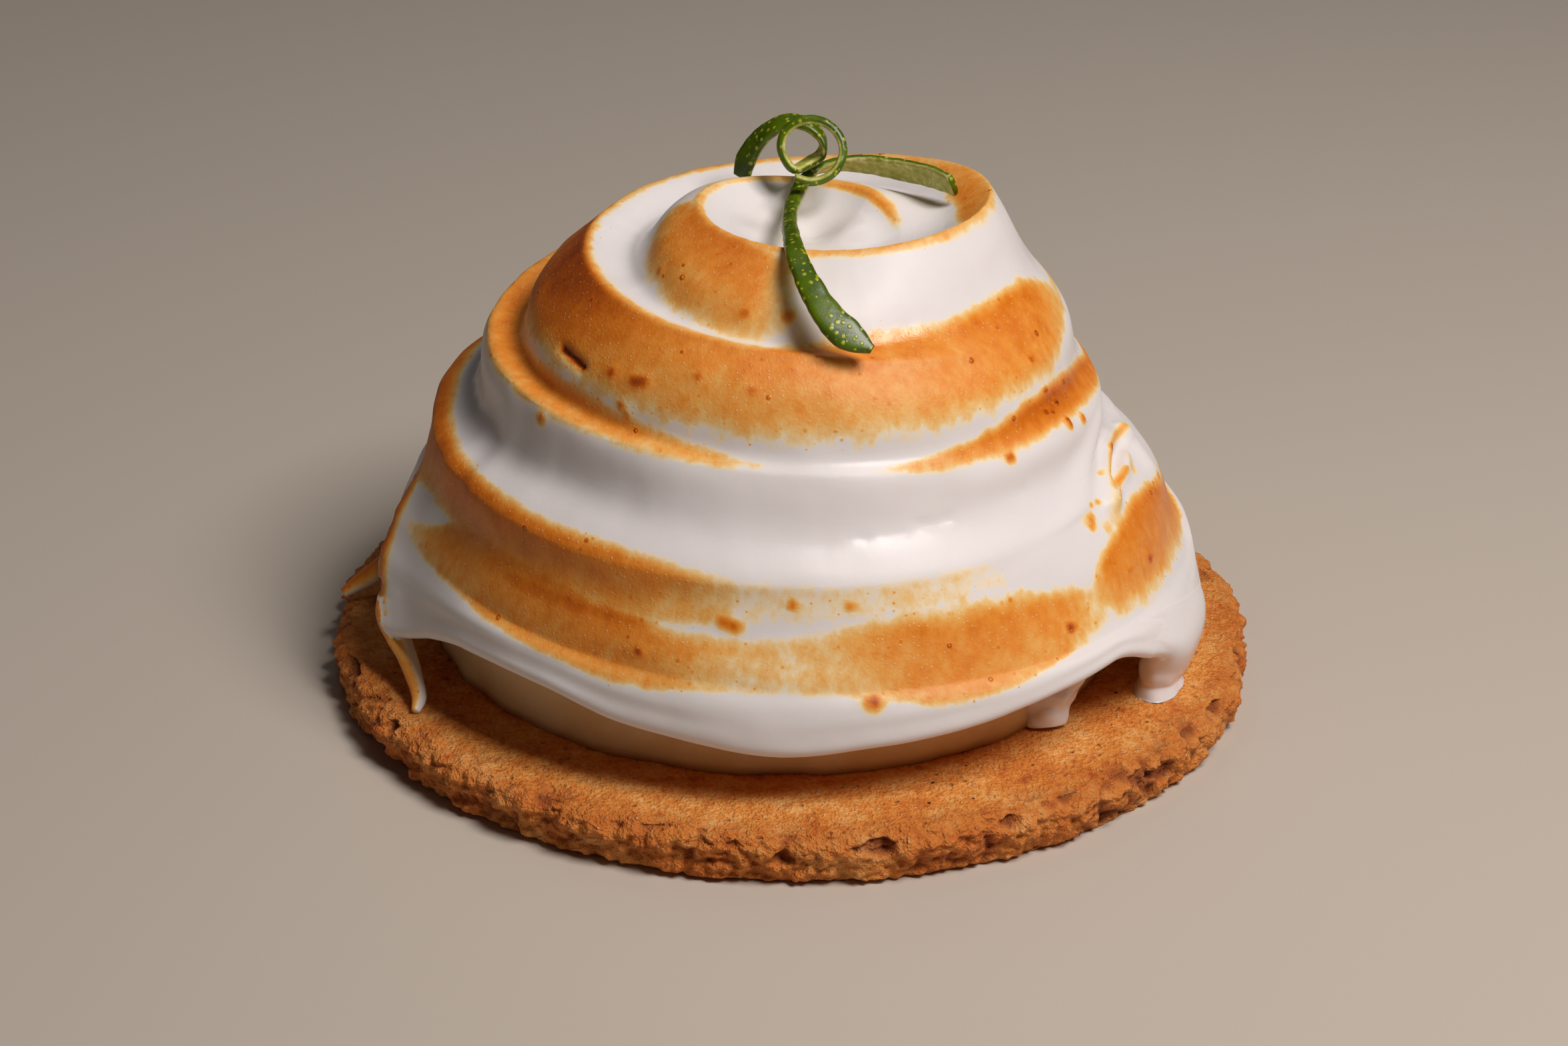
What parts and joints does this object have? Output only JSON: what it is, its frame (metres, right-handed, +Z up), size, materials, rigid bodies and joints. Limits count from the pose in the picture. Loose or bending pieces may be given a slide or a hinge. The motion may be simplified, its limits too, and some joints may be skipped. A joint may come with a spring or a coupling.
{
  "type": "lemon dome cake",
  "caption": "Single-serve lemon mousse dome on a round shortbread, coated in spiral-spun toasted meringue with curls of lime peel on top.",
  "frame": {"origin": "on the surface the cake stands on, under the middle of the shortbread", "axes": "+Z up; -Y is the front of the cake, the side the picture shows; +X is to the right seen from there"},
  "size_m": [0.0952, 0.095, 0.0568],
  "materials": {
    "shortbread": "baked shortbread, sandy golden top, darker crumbly broken edge",
    "lemon_mousse": "set lemon mousse, pale cream, smooth and soft",
    "toasted_meringue": "Italian meringue, glossy white in the grooves, blowtorched amber on the ridges",
    "lime_peel": "cut lime peel, dark green oily rind with paler oil glands, pale green pith inside"
  },
  "bodies": {
    "root": {"biscuit": "shortbread", "lemon_mousse": "lemon_mousse", "meringue": "toasted_meringue", "lime_curl": "lime_peel", "lime_ribbon": "lime_peel"}
  },
  "joints": []
}
